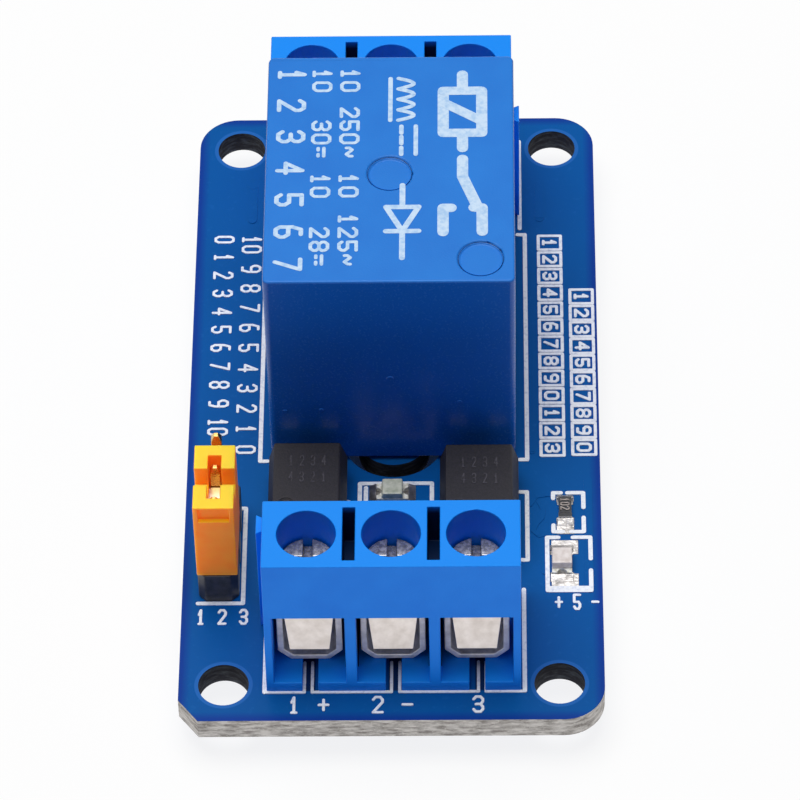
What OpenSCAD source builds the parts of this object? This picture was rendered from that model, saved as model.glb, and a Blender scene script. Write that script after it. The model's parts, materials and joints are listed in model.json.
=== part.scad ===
// Relay module board: one relay, two three-way screw terminal blocks, two
// optocouplers, a jumper header and the small parts that serve them.
// +Z is up and +Y runs from the input block to the output block. The origin is
// under the board's centre, at the level of the pin tips that the board rests on.

/* [Board] */
// Board width, across the terminal ways
board_w = 26; // [25:0.5:32]
// Board length, from the input edge to the output edge
board_l = 50; // [49:0.5:60]
// Board thickness
board_t = 1.6; // [1:0.1:2.4]
// Radius of the three rounded corners
corner_r = 2.5; // [1:0.1:3]
// Cut corner, along the width
corner_cut_x = 1.25; // [0.5:0.05:2]
// Cut corner, along the length
corner_cut_y = 1.6; // [0.5:0.05:2]
// Mounting hole diameter
hole_d = 3.1; // [2:0.1:3.4]
// Distance of the mounting holes from the board's sides
hole_in_x = 2.75; // [2.4:0.05:3]
// Distance of the mounting holes from the board's end edges
hole_in_y = 2.75; // [2.4:0.05:3.5]
// How far the trimmed pins reach below the board
tail_h = 2; // [1.4:0.1:3]
// Gap between a pin's corner and its plated hole
pin_hole_gap = 0.12; // [0.05:0.01:0.2]
// Diameter of the break-off nick in the input edge
nick_d = 0.5; // [0.3:0.1:0.8]
// Distance of the nick from the board's side
nick_in = 1.4; // [1:0.1:3]

/* [Terminal blocks] */
// Distance between two ways
way_pitch = 5.08; // [5:0.01:5.2]
// Block width
block_w = 15.5; // [15.2:0.1:16]
// Block depth at the board
block_d = 7.75; // [7.4:0.05:8.2]
// Block height
block_h = 11.1; // [10.5:0.1:12.5]
// Depth of the block's top face
top_d = 5.1; // [4.8:0.1:5.6]
// How far the entry face leans back over its height
face_lean = 0.83; // [0.2:0.01:1.2]
// Height at which the back starts to slope in
back_knee_h = 6; // [4:0.1:8]
// Distance of the input block's back from the board's centre
input_back_y = 15.05; // [14.9:0.05:15.6]
// Gap between the relay and the output block
relay_gap = 0.55; // [0.3:0.05:1]
// Sideways offset of each block, towards its plain side
block_shift = 0.15; // [0:0.05:0.4]
// Gap between a clamp frame and the sides of its way
frame_side_gap = 0.22; // [0.15:0.01:0.26]
// Height of a wire entry's upper edge above the board
window_top_h = 6.55; // [6:0.05:7]
// Thickness of the block's floor
floor_t = 0.8; // [0.5:0.05:1]
// Gap between a screw's head and its screwdriver hole
head_gap = 0.125; // [0.1:0.025:0.25]
// Width of the relief slot between two ways
relief_w = 0.75; // [0.5:0.05:0.9]
// Length of the relief slot
relief_l = 4.05; // [3:0.05:4.4]
// Depth of the relief slot
relief_deep = 3.2; // [1:0.1:3.6]
// Width of the slot that lets a clamp's pin into the floor
floor_slot_w = 0.95; // [0.9:0.05:1.4]
// How far the dovetail rib stands out of the side
rib_out = 0.48; // [0.2:0.02:0.6]
// Width of the dovetail rib where it stands out furthest
rib_w = 1.5; // [1:0.1:2]
// Height of the dovetail rib
rib_h = 9; // [6:0.1:10]
// Distance from the foot of the entry face to the rib
rib_y = 5.1; // [4.5:0.1:5.5]
// Play of the dovetail rib in its neighbour's groove
rib_play = 0.05; // [0.02:0.01:0.1]

/* [Clamps] */
// Clamp frame width
frame_w = 3.96; // [3.7:0.02:4.1]
// Clamp frame depth
frame_d = 3.9; // [3.4:0.1:4.1]
// Clamp frame height
frame_h = 5.2; // [4.8:0.1:5.4]
// Sheet thickness of the clamp frame
frame_t = 0.4; // [0.3:0.05:0.5]
// Width of the clamp frame's flat foot
frame_foot_w = 2.38; // [1.8:0.02:2.8]
// Distance of the clamp frame behind the foot of the entry face
frame_setback = 1.9; // [1.8:0.02:2.1]
// Clamp pin width
pin_w = 0.8; // [0.6:0.05:0.85]
// Clamp pin depth
pin_d = 1; // [0.7:0.05:1.2]
// Sheet thickness of the wire guard
guard_t = 0.25; // [0.2:0.01:0.3]
// How far the wire guard's apron leans back over its height
guard_lean = 0.65; // [0.4:0.05:0.8]
// Play between a wire guard and its clamp frame
guard_play = 0.06; // [0.04:0.01:0.1]
// Lowest gap between the wire guard's pad and the foot of its clamp frame
pad_gap = 0.25; // [0.15:0.05:0.4]
// How far a clamp stands open from its lowest place
clamp_open = 1.1; // [0.5:0.1:1.5]
// How much further a clamp opens
clamp_spare = 0.4; // [0.2:0.1:0.8]
// Screw shank diameter, between the crests and the roots of its thread
screw_d = 2.2; // [2:0.05:2.25]
// Diameter of the screw's plain point
screw_point_d = 1.4; // [1.2:0.05:1.5]
// Length of the screw's plain point
screw_point_l = 1.05; // [1:0.05:1.6]
// Play of the screw in its thread
screw_play = 0.04; // [0.02:0.01:0.08]
// Screw head diameter
screw_head_d = 3.3; // [3:0.05:3.35]
// Screw head height
screw_head_h = 1.4; // [1:0.05:1.5]
// Width of the screw's slot
screw_slot_w = 0.55; // [0.4:0.05:0.7]
// Depth of the screw's slot
screw_slot_deep = 0.7; // [0.4:0.05:0.9]

/* [Relay] */
// Relay case width
relay_w = 15.4; // [15.2:0.1:16]
// Relay case length
relay_l = 19; // [18.8:0.1:19.4]
// Relay case top above the board
relay_h = 16.9; // [16.4:0.1:18]
// Place of the relay's input-side face along the board
relay_near_y = -4.5; // [-4.6:0.05:-4.2]
// Relay case wall
relay_wall = 0.7; // [0.5:0.05:0.9]
// Radius of the relay case's upright edges
relay_edge_r = 0.4; // [0.2:0.05:0.6]
// Gap between the relay case and the board
relay_stand = 0.3; // [0.1:0.05:0.35]
// Thickness of the relay's base
relay_base_t = 2; // [1.5:0.1:2.2]
// Diameter of the two round dimples in the relay's top
dimple_d = 2.75; // [2:0.05:3]
// Depth of the dimples
dimple_deep = 0.2; // [0.1:0.05:0.3]
// How far the middle dimple lies towards the input side
dimple_back = 0.5; // [0:0.1:1]
// Distance of the corner dimple from the side face
dimple_in_x = 2.1; // [1.8:0.1:3]
// Distance of the corner dimple from the input-side face
dimple_in_y = 1.9; // [1.8:0.1:3]
// Common pin behind the input-side face
com_in = 1.85; // [1.8:0.05:2.2]
// Coil pins behind the common pin
coil_pin_back = 2; // [1.8:0.1:2.2]
// Distance of the contact pins from the output-side face
contact_in = 2.95; // [2.8:0.05:3.3]
// Distance of the coil pins and the contact pins from the side faces
relay_pin_in = 1.7; // [1.6:0.05:1.9]
// Width of a contact blade's pin
blade_pin_w = 1; // [0.8:0.05:1.1]
// Sheet thickness of the contact blades
blade_t = 0.5; // [0.4:0.05:0.6]
// Coil pin thickness
coil_pin_w = 0.55; // [0.4:0.05:0.7]
// Yoke thickness
yoke_t = 1.2; // [1:0.1:1.3]
// Gap between the yoke's sides and the coil pins
yoke_side_gap = 0.725; // [0.5:0.025:1]
// Room between the upper fixed contact's arm and the case's top
case_room = 0.4; // [0.2:0.1:1]
// Core diameter
core_d = 3.6; // [3:0.1:4]
// Diameter of the core's pole face
pole_d = 6.6; // [5.5:0.1:7.5]
// Thickness of the pole face
pole_t = 0.8; // [0.6:0.1:1]
// Wall of the bobbin's tube
bobbin_wall = 0.7; // [0.5:0.1:0.9]
// Thickness of the bobbin's flanges
flange_t = 0.9; // [0.7:0.1:1.1]
// Diameter of the winding
winding_d = 9.2; // [8:0.1:9.4]
// Armature thickness
armature_t = 1; // [0.8:0.1:1.1]
// Angle that the armature closes through
armature_angle = 3.5; // [3:0.1:3.8]
// Contact spring thickness
spring_t = 0.2; // [0.15:0.01:0.25]
// Contact spring width
spring_w = 4.6; // [3:0.1:5]
// Contact diameter
contact_d = 2.6; // [2:0.1:3]
// Contact thickness
contact_t = 0.45; // [0.3:0.05:0.5]
// Play where two relay parts touch
relay_play = 0.04; // [0.02:0.01:0.06]

/* [Isolation slot] */
// Radius of the slot's middle line, about the common pin
isolation_r = 2.75; // [2.6:0.05:2.9]
// Width of the slot
isolation_w = 1; // [0.8:0.05:1.2]
// Angle that the slot covers
isolation_angle = 190; // [150:5:210]

/* [Jumper] */
// Distance between two header pins
header_pitch = 2.54; // [2.5:0.01:2.6]
// Header base width
header_w = 2.5; // [2.3:0.05:2.54]
// Header base height
header_h = 2.5; // [2:0.1:2.8]
// Corner cut of the header base
header_cut = 0.45; // [0.2:0.05:0.6]
// Header pin thickness
header_pin_w = 0.64; // [0.6:0.01:0.66]
// Height of the header pins above the board
header_pin_h = 8.5; // [8:0.1:8.8]
// Distance of the header's middle from the board's side
header_in = 2.3; // [2.1:0.05:2.7]
// Middle of the header along the board
header_y = -11.97; // [-12.2:0.05:-11.6]
// Jumper cap height
cap_h = 6.5; // [6.2:0.1:7]
// Jumper cap length
cap_l = 5; // [4.9:0.02:5.06]
// Width of the jumper cap's top slot
cap_slot_w = 0.8; // [0.74:0.02:0.9]
// Width of the notch across the jumper cap's top
cap_notch_w = 1.28; // [0.8:0.02:1.5]
// Depth of the notch
cap_notch_deep = 1.5; // [0.8:0.1:1.8]
// Depth of the recess in the cap's end face
cap_step_deep = 0.3; // [0.1:0.05:0.4]
// Height of that recess
cap_step_h = 1.2; // [0.8:0.1:2]
// How far below the cap's top the recess starts
cap_step_low = 1.35; // [1:0.05:1.5]
// Sheet thickness of the jumper's clip
clip_t = 0.15; // [0.1:0.01:0.18]
// Play between the clip and the header pins
clip_play = 0.08; // [0.05:0.01:0.1]
// Play between the clip and the cap
clip_seat = 0.02; // [0.01:0.01:0.05]

/* [Optocouplers] */
// Body width across the leads' rows, along the board
opto_l = 6.5; // [6.2:0.1:6.8]
// Body width, across the board
opto_w = 4.9; // [4.6:0.1:5]
// Body height
opto_h = 3.55; // [3.3:0.05:3.8]
// Gap between the body and the board
opto_stand = 0.45; // [0.3:0.05:0.8]
// How far the body's faces draw in above and below the leads
opto_draft = 0.4; // [0.2:0.05:0.5]
// Diameter of the dimple that marks the first lead
opto_dot_d = 0.9; // [0.6:0.1:1.2]
// Depth of that dimple
opto_dot_deep = 0.15; // [0.05:0.05:0.3]
// Its distance from the top's two edges
opto_dot_in = 0.8; // [0.7:0.1:1.2]
// Distance between the lead rows
opto_row = 7.62; // [7.5:0.01:7.8]
// Distance between two leads of a row
opto_lead_pitch = 2.54; // [2.4:0.01:2.6]
// Lead thickness
lead_t = 0.25; // [0.2:0.01:0.3]
// Lead width at the shoulder
lead_shoulder_w = 1.1; // [0.9:0.05:1.3]
// Lead width in the board
lead_w = 0.5; // [0.4:0.05:0.6]
// Left optocoupler, across the board
opto_left_x = -5.28; // [-5.4:0.02:-5.1]
// Distance of the left optocoupler's middle from the relay
opto_left_back = 4.7; // [4.4:0.05:5]
// Right optocoupler, across the board
opto_right_x = 5.4; // [5.2:0.02:5.5]
// Distance of the right optocoupler's middle from the relay
opto_right_back = 4.9; // [4.4:0.05:5.2]

/* [Small parts] */
// Distance of the power light's middle from the board's side
power_led_in = 2.5; // [2.3:0.1:3]
// Distance of the chip resistor beside it from the board's side
resistor_in = 2.25; // [2:0.05:3]
// Length of a light-emitting diode
led_l = 2; // [1.8:0.1:2.2]
// Width of a light-emitting diode
led_w = 1.25; // [1.1:0.05:1.4]
// Thickness of its carrier
led_base_t = 0.35; // [0.25:0.05:0.45]
// Diameter of the plated half-holes in the carrier's ends
led_notch_d = 0.6; // [0.4:0.05:0.6]
// Height of its lens
led_lens_h = 0.5; // [0.3:0.05:0.6]
// Length of its lens
led_lens_l = 1.4; // [1.2:0.05:1.5]
// Length of a chip resistor
chip_l = 1.6; // [1.5:0.05:1.8]
// Width of a chip resistor
chip_w = 0.82; // [0.7:0.02:0.9]
// Thickness of a chip resistor
chip_t = 0.45; // [0.35:0.05:0.6]
// Length of a chip resistor's metal ends
chip_cap_l = 0.3; // [0.2:0.05:0.4]
// Length of a soldered fillet outside a chip's end
smd_fillet = 0.45; // [0.3:0.05:0.6]
// Thickness of the soldered film under a chip
smd_film = 0.05; // [0.03:0.01:0.08]
// Transistor body length
transistor_l = 2.9; // [2.7:0.1:3.1]
// Transistor body width
transistor_w = 1.35; // [1.2:0.05:1.5]
// Transistor body height
transistor_h = 1; // [0.8:0.05:1.1]
// Diode body length
diode_l = 2.7; // [2.5:0.1:2.9]
// Diode body width
diode_w = 1.6; // [1.4:0.1:1.8]
// Diode body height
diode_h = 1.1; // [0.9:0.05:1.3]
// Diode lead width
diode_lead_w = 0.6; // [0.4:0.05:0.9]
// Transistor lead width
gull_w = 0.42; // [0.35:0.01:0.5]
// Thickness of the transistor's and the diode's leads
gull_t = 0.12; // [0.1:0.01:0.15]
// Gap between those bodies and the board
gull_stand = 0.08; // [0.02:0.01:0.15]
// Largest diameter of a soldered joint under the board
solder_d = 2; // [1.5:0.1:2.3]
// Width of the copper ring round a pin hole
pad_ring = 0.4; // [0.3:0.05:0.5]
// Height of a soldered joint under the board
solder_h = 1.1; // [0.6:0.1:1.3]

/* [Hidden] */
$fn = 48;
eps = 0.02;

// Levels: the board's underside and its top
board_z = tail_h;
top_z = tail_h + board_t;

// Block levels and places, measured from the foot of the entry face
ways = [-1, 0, 1];
window_w = frame_w + 2 * frame_side_gap;
driver_hole_d = screw_head_d + 2 * head_gap;
driver_y = face_lean + top_d / 2 + 0.02;
back_top_y = face_lean + top_d;
frame_back_gap = 0.14;
cavity_back_y = frame_setback + frame_d + frame_back_gap;
pin_y = frame_setback + 0.5 * frame_d;
frame_cham_h = 0.85;
frame_corner = 0.4;
frame_knee = 0.3;
clamp_lift = 0.05;
plate_z = floor_t + frame_h - frame_t;
guard_z = floor_t + frame_t + pad_gap + clamp_open;
guard_h = plate_z - clamp_lift - clamp_spare - guard_z;
guard_top_y = driver_y - screw_d / 2 - 2 * guard_play - guard_t;
guard_foot_y = guard_top_y - guard_lean;
pad_end_y = driver_y + screw_point_d / 2 + 0.2;
screw_tip_z = guard_z + guard_t + clamp_lift;
head_z = floor_t + frame_h + 2 * clamp_lift + clamp_open;
ceiling_h = max(window_top_h, floor_t + frame_h + 0.5);
hood_back_y = frame_setback - guard_play;

// Relay places along the board
com_y = relay_near_y + com_in;
coil_y = com_y + coil_pin_back;
contact_pin_y = relay_near_y + relay_l - contact_in;
relay_pin_x = relay_w / 2 - relay_pin_in;
yoke_w = 2 * relay_pin_x - coil_pin_w - 2 * yoke_side_gap;
relay_mid_y = relay_near_y + relay_l / 2;
yoke_back_y = com_y + blade_t / 2 + relay_play;
coil_mid_y = yoke_back_y + yoke_t + 0.15 + winding_d / 2 + 0.2;
hinge_y = yoke_back_y;
contact_y = contact_pin_y + 0.3;
arm_w = contact_d + 0.4;

// Relay levels, worked out downwards from the case's top
base_top_h = relay_stand + 0.1 + relay_base_t;
contact_lift = (contact_y - hinge_y) * sin(armature_angle);
nc_arm_h = relay_h - relay_wall - case_room - blade_t;
nc_face_h = nc_arm_h - 0.7 * contact_t - contact_lift;
spring_low_h = nc_face_h - relay_play - contact_t - spring_t;
no_face_h = spring_low_h - contact_t - relay_play;
hinge_h = spring_low_h - armature_t;
yoke_top_h = hinge_h - relay_play;
bobbin_low_h = base_top_h + yoke_t;
bobbin_top_h = yoke_top_h - pole_t;

// Header places
header_x = -board_w / 2 + header_in;
header_pin_ys = [for (i = [-1, 0, 1]) header_y + i * header_pitch];
cap_y = header_y - header_pitch / 2;
cap_w = header_w;
cap_z = header_h + 0.05;
socket_w = header_pin_w + 2 * (clip_play + clip_t + clip_seat);
socket_l = header_pitch + header_pin_w + 2 * 0.1;
clip_h = 4;
clip_low = 0.4;
socket_h = clip_low + clip_h + 0.2;

// Optocoupler levels and places
opto_top_h = opto_stand + opto_h;
opto_left_y = relay_near_y - opto_left_back;
opto_right_y = relay_near_y - opto_right_back;

// Small parts: middle across the board, middle along it, and the turn
power_led_at = [board_w / 2 - power_led_in, -12.95, 90];
status_led_at = [-0.05, -7.35, 0];
side_resistor_at = [board_w / 2 - resistor_in, -8.75, 90];
resistors_at = [side_resistor_at, [-2.15, -11.9, 90], [2.2, -11.9, 90], [2.2, -9.2, 90]];
transistor_at = [0.1, -10.4, 0];
diode_at = [0.1, -13.9, 0];

// Pin holes: place, pin size across and along the board
clamp_pins = [for (s = [0, 1]) for (i = ways)
    concat(turned_about_middle(s, [i * way_pitch + block_shift, pin_y - block_front_y(s)]), [pin_w, pin_d])];
relay_pins = [
    [0, com_y, blade_pin_w, blade_t],
    [-relay_pin_x, contact_pin_y, blade_t, blade_pin_w],
    [relay_pin_x, contact_pin_y, blade_t, blade_pin_w],
    [-relay_pin_x, coil_y, coil_pin_w, coil_pin_w],
    [relay_pin_x, coil_y, coil_pin_w, coil_pin_w],
];
header_pin_list = [for (y = header_pin_ys) [header_x, y, header_pin_w, header_pin_w]];
opto_pins = [for (at = [[opto_left_x, opto_left_y], [opto_right_x, opto_right_y]])
    for (i = [-0.5, 0.5]) for (j = [-0.5, 0.5])
    [at[0] + i * opto_lead_pitch, at[1] + j * opto_row, lead_w, lead_t]];
all_pins = concat(clamp_pins, relay_pins, header_pin_list, opto_pins);

function block_front_y(side) = block_d + (side == 0 ? input_back_y : relay_near_y + relay_l + relay_gap);
function turned_about_middle(s, p) = s == 0 ? p : [-p[0], -p[1]];
function pin_hole_d(p) = norm([p[2], p[3]]) + 2 * pin_hole_gap;

// ---- shared shapes ----

// A block standing on z = 0, centred across and along
module block(w, l, h) {
    translate([-w / 2, -l / 2, 0]) cube([w, l, h]);
}

// An upright prism with round upright edges
module round_block(w, l, h, r) {
    linear_extrude(h) {
        square([w - 2 * r, l], center = true);
        square([w, l - 2 * r], center = true);
        for (x = [-1, 1]) for (y = [-1, 1]) translate([x * (w / 2 - r), y * (l / 2 - r)]) circle(r);
    }
}

// Extrudes a side outline, drawn as (distance from the front, height), across the board
module side_extrude(w) {
    translate([w / 2, 0, 0]) rotate([90, 0, -90]) mirror([1, 0, 0]) linear_extrude(w) children();
}

// Puts a terminal block's piece in place: side 0 is the input block, side 1 the output block
module at_block(side) {
    rotate([0, 0, 180 * side]) translate([block_shift, -block_front_y(side), top_z]) children();
}

// Puts a small part in place: where across and along the board, and its turn
module on_board(at) {
    translate([at[0], at[1], top_z]) rotate([0, 0, at[2]]) children();
}

// A pin through the board, from its tail to a height above the board
module pin(p, up) {
    translate([p[0], p[1], 0]) block(p[2], p[3], top_z + up);
}

// ---- board ----

module board_outline() {
    x = board_w / 2;
    y = board_l / 2;
    r = corner_r;
    round_corners = [[1, 1], [-1, 1], [1, -1]];
    difference() {
        square([board_w, board_l], center = true);
        for (c = round_corners) translate([c[0] * x, c[1] * y]) square(2 * r, center = true);
        polygon([[-x - 1, -y - 1], [-x + corner_cut_x, -y - 1], [-x + corner_cut_x, -y],
            [-x, -y + corner_cut_y], [-x - 1, -y + corner_cut_y]]);
    }
    for (c = round_corners) translate([c[0] * (x - r), c[1] * (y - r)]) circle(r);
}

// Drills a round hole through the board
module board_hole(x, y, d) {
    translate([x, y, board_z - 1]) cylinder(d = d, h = board_t + 2);
}

module isolation_slot() {
    start = 270 - isolation_angle / 2;
    translate([0, com_y, 0]) {
        translate([0, 0, board_z - 1]) rotate([0, 0, start]) rotate_extrude(angle = isolation_angle)
            translate([isolation_r - isolation_w / 2, 0]) square([isolation_w, board_t + 2]);
        for (a = [start, start + isolation_angle]) rotate([0, 0, a]) board_hole(isolation_r, 0, isolation_w);
    }
}

module pcb() {
    color("royalblue") difference() {
        translate([0, 0, board_z]) linear_extrude(board_t) board_outline();
        for (x = [-1, 1]) for (y = [-1, 1])
            board_hole(x * (board_w / 2 - hole_in_x), y * (board_l / 2 - hole_in_y), hole_d);
        for (p = all_pins) board_hole(p[0], p[1], pin_hole_d(p));
        board_hole(board_w / 2 - nick_in, -board_l / 2, nick_d);
        isolation_slot();
    }
}

module pin_solder() {
    color("silver") for (p = all_pins) translate([p[0], p[1], board_z - solder_h]) difference() {
        d = min(solder_d, pin_hole_d(p) + 2 * pad_ring);
        cylinder(d1 = norm([p[2], p[3]]) + 0.2, d2 = d, h = solder_h);
        translate([0, 0, -1]) block(p[2] + eps, p[3] + eps, solder_h + 2);
    }
}

// Soldered fillets at both ends of a part that lies along X
module chip_fillets(l, w, h) {
    side = 0.1;
    for (s = [0, 1]) rotate([0, 0, 180 * s]) {
        translate([l / 2 + eps / 2, w / 2 + side, 0]) rotate([90, 0, 0]) linear_extrude(w + 2 * side)
            polygon([[0, 0], [smd_fillet, 0], [smd_fillet, smd_film], [0, h * 0.75]]);
        translate([l / 2 - chip_cap_l, -w / 2 - side, 0])
            cube([chip_cap_l + eps, w + 2 * side, smd_film - eps / 2]);
    }
}

module chip_solder() {
    color("silver") {
        for (at = [power_led_at, status_led_at]) on_board(at) chip_fillets(led_l, led_w, led_base_t + smd_film);
        for (at = resistors_at) on_board(at) chip_fillets(chip_l, chip_w, chip_t + smd_film);
    }
}

// ---- terminal blocks ----

module block_side_outline() {
    polygon([[0, 0], [face_lean, block_h], [back_top_y, block_h], [block_d, back_knee_h], [block_d, 0]]);
}

// The dovetail's plan, narrow at its root
module dovetail(grow) {
    w = rib_w + 2 * grow;
    out = rib_out + grow;
    translate([0, rib_y + rib_w / 2]) polygon([[0.01, -w / 3], [-out, -w / 2], [-out, w / 2], [0.01, w / 3]]);
}

module way_cavity() {
    slot_back_y = pin_y + pin_d / 2 + frame_back_gap;
    translate([-window_w / 2, -1, floor_t]) cube([window_w, 1 + frame_setback + eps, window_top_h - floor_t]);
    translate([-window_w / 2, hood_back_y, floor_t])
        cube([window_w, cavity_back_y - hood_back_y, ceiling_h - floor_t]);
    translate([0, driver_y, floor_t]) cylinder(d = driver_hole_d, h = block_h);
    translate([-floor_slot_w / 2, -1, -1]) cube([floor_slot_w, 1 + slot_back_y, 2 + floor_t]);
}

module housing(side) {
    at_block(side) color("dodgerblue") difference() {
        union() {
            side_extrude(block_w) block_side_outline();
            translate([-block_w / 2, 0, 0]) linear_extrude(rib_h) dovetail(0);
        }
        for (i = ways) translate([i * way_pitch, 0, 0]) way_cavity();
        for (i = [-0.5, 0.5]) translate([i * way_pitch, driver_y, block_h - relief_deep])
            block(relief_w, relief_l, block_h);
        translate([block_w / 2, 0, -1]) linear_extrude(1 + rib_h + 2 * rib_play) dovetail(rib_play);
    }
}

// ---- clamps: frame with its pin, wire guard and screw ----

module frame_outline(inset) {
    w = frame_w / 2 - inset;
    foot = frame_foot_w / 2 - inset * frame_corner;
    knee = frame_cham_h + inset * frame_knee;
    top = frame_h - inset;
    polygon([[-foot, inset], [foot, inset], [w, knee], [w, top], [-w, top], [-w, knee]]);
}

module clamp_frame(side, i) {
    at_block(side) translate([i * way_pitch, 0, 0]) color("silver") difference() {
        union() {
            translate([0, frame_setback + frame_d, floor_t]) rotate([90, 0, 0]) linear_extrude(frame_d)
                difference() {
                    frame_outline(0);
                    frame_outline(frame_t);
                }
            translate([0, pin_y, -top_z]) block(pin_w, pin_d, top_z + floor_t + eps);
        }
        translate([0, driver_y, floor_t + frame_t]) cylinder(d = screw_d + 2 * screw_play, h = frame_h);
    }
}

// The guard's side outline: an apron that leans back and a pad under the screw's point
module guard_side_outline() {
    bend_y = guard_foot_y + guard_t + guard_lean * guard_t / guard_h;
    polygon([[guard_foot_y, 0], [pad_end_y, 0], [pad_end_y, guard_t], [bend_y, guard_t],
        [guard_top_y + guard_t, guard_h], [guard_top_y, guard_h]]);
}

// Half the width inside a clamp frame at a height above its foot's upper face
function frame_half(h) = let (foot = frame_foot_w / 2 - frame_t * frame_corner, w = frame_w / 2 - frame_t)
    min(w, foot + (w - foot) * h / (frame_cham_h - (1 - frame_knee) * frame_t));

module wire_guard(side, i) {
    w = frame_half(guard_h) - guard_play;
    foot = frame_half(pad_gap) - guard_play;
    at_block(side) translate([i * way_pitch, 0, guard_z]) color("gainsboro") intersection() {
        side_extrude(2 * w + 1) guard_side_outline();
        translate([0, block_d, 0]) rotate([90, 0, 0]) linear_extrude(block_d)
            polygon([[-foot, 0], [foot, 0], [w, guard_h], [-w, guard_h]]);
    }
}

module clamp_screw(side, i) {
    at_block(side) translate([i * way_pitch, driver_y, 0]) color("lightgray") {
        shank_z = screw_tip_z + screw_point_l;
        translate([0, 0, screw_tip_z]) cylinder(d = screw_point_d, h = screw_point_l + eps);
        translate([0, 0, shank_z]) cylinder(d = screw_d, h = head_z - shank_z + eps);
        translate([0, 0, head_z]) difference() {
            cylinder(d = screw_head_d, h = screw_head_h);
            translate([0, 0, screw_head_h - screw_slot_deep]) {
                block(screw_slot_w, screw_head_d + 1, screw_head_h);
                block(screw_head_d * 0.72, screw_slot_w, screw_head_h);
            }
        }
    }
}

// ---- relay ----

module relay_case() {
    inner_w = relay_w - 2 * relay_wall;
    inner_l = relay_l - 2 * relay_wall;
    color("steelblue") translate([0, relay_mid_y, top_z]) difference() {
        translate([0, 0, relay_stand]) round_block(relay_w, relay_l, relay_h - relay_stand, relay_edge_r);
        translate([0, 0, -1]) block(inner_w, inner_l, relay_h - relay_wall + 1);
        for (c = [[0, -dimple_back], [relay_w / 2 - dimple_in_x, -relay_l / 2 + dimple_in_y]])
            translate([c[0], c[1], relay_h - dimple_deep]) cylinder(d = dimple_d, h = 1);
    }
}

module relay_base() {
    w = relay_w - 2 * relay_wall - 2 * relay_play;
    l = relay_l - 2 * relay_wall - 2 * relay_play;
    color("midnightblue") difference() {
        translate([0, relay_mid_y, top_z + relay_stand + 0.1]) block(w, l, relay_base_t);
        for (p = relay_pins) translate([p[0], p[1], top_z - 1])
            block(p[2] + relay_play, p[3] + relay_play, relay_h);
    }
}

module relay_yoke() {
    color("darkgray") translate([0, 0, top_z]) difference() {
        union() {
            translate([-yoke_w / 2, yoke_back_y, base_top_h]) cube([yoke_w, yoke_t, yoke_top_h - base_top_h]);
            translate([-yoke_w / 2, yoke_back_y, base_top_h])
                cube([yoke_w, coil_mid_y - yoke_back_y + core_d, yoke_t]);
        }
        translate([0, coil_mid_y, 0]) cylinder(d = core_d + eps, h = yoke_top_h);
    }
}

module relay_core() {
    color("gray") translate([0, coil_mid_y, top_z]) {
        translate([0, 0, base_top_h]) cylinder(d = core_d, h = yoke_top_h - base_top_h);
        translate([0, 0, yoke_top_h - pole_t]) cylinder(d = pole_d, h = pole_t);
    }
}

module relay_bobbin() {
    tube_d = core_d + 2 * bobbin_wall;
    low = bobbin_low_h;
    front = yoke_back_y + yoke_t + relay_play;
    flange_l = 2 * (coil_mid_y - front);
    lug_w = 1.2;
    lug_out = relay_pin_x + coil_pin_w + 0.1;
    lug_back = front - coil_mid_y + lug_w;
    lug_front = coil_y - coil_mid_y - coil_pin_w - 0.1;
    color("ivory") translate([0, coil_mid_y, top_z]) difference() {
        union() {
            translate([0, 0, low]) block(yoke_w, flange_l, flange_t);
            translate([0, 0, bobbin_top_h - flange_t]) block(yoke_w, flange_l, flange_t);
            translate([0, 0, low]) cylinder(d = tube_d, h = bobbin_top_h - low);
            translate([-lug_out, lug_back - lug_w, low]) cube([2 * lug_out, lug_w, flange_t]);
            for (s = [0, 1]) mirror([s, 0, 0]) translate([yoke_w / 2 + relay_play, lug_front, low])
                cube([lug_out - yoke_w / 2 - relay_play, lug_back - lug_front, flange_t]);
        }
        translate([0, 0, -1]) cylinder(d = core_d + eps, h = yoke_top_h + 2);
        for (s = [-1, 1]) translate([s * relay_pin_x, coil_y - coil_mid_y, 0])
            block(coil_pin_w + eps, coil_pin_w + eps, yoke_top_h);
    }
}

module relay_winding() {
    tube_d = core_d + 2 * bobbin_wall;
    low = bobbin_low_h + flange_t + eps;
    color("chocolate") translate([0, coil_mid_y, top_z + low]) difference() {
        cylinder(d = winding_d, h = bobbin_top_h - flange_t - eps - low);
        translate([0, 0, -1]) cylinder(d = tube_d + eps, h = yoke_top_h);
    }
}

module relay_coil_pins() {
    color("silver") for (p = [relay_pins[3], relay_pins[4]]) pin(p, bobbin_low_h + flange_t + 0.6);
}

// The common terminal: its pin and the strip that is riveted up the yoke's back
module relay_com_terminal() {
    color("goldenrod") {
        pin(relay_pins[0], base_top_h + 1);
        translate([-spring_w / 2, com_y - blade_t / 2, top_z + base_top_h])
            cube([spring_w, blade_t, spring_low_h - base_top_h - 0.3]);
    }
}

// A fixed contact's blade: its pin, its upright and its arm over to the middle
module contact_blade(side, arm_h) {
    reach = relay_pin_x + blade_t / 2;
    pin([side * relay_pin_x, contact_pin_y, blade_t, blade_pin_w], base_top_h);
    translate([side * relay_pin_x - blade_t / 2, contact_y - arm_w / 2, top_z + base_top_h])
        cube([blade_t, arm_w, arm_h + blade_t - base_top_h]);
    translate([side > 0 ? -arm_w / 2 : -reach, contact_y - arm_w / 2, top_z + arm_h])
        cube([reach + arm_w / 2, arm_w, blade_t]);
}

// Turns a relay piece about the yoke's upper edge, from closed to open
module opened() {
    translate([0, hinge_y, top_z + hinge_h]) rotate([armature_angle, 0, 0])
        translate([0, -hinge_y, -top_z - hinge_h]) children();
}

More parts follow.
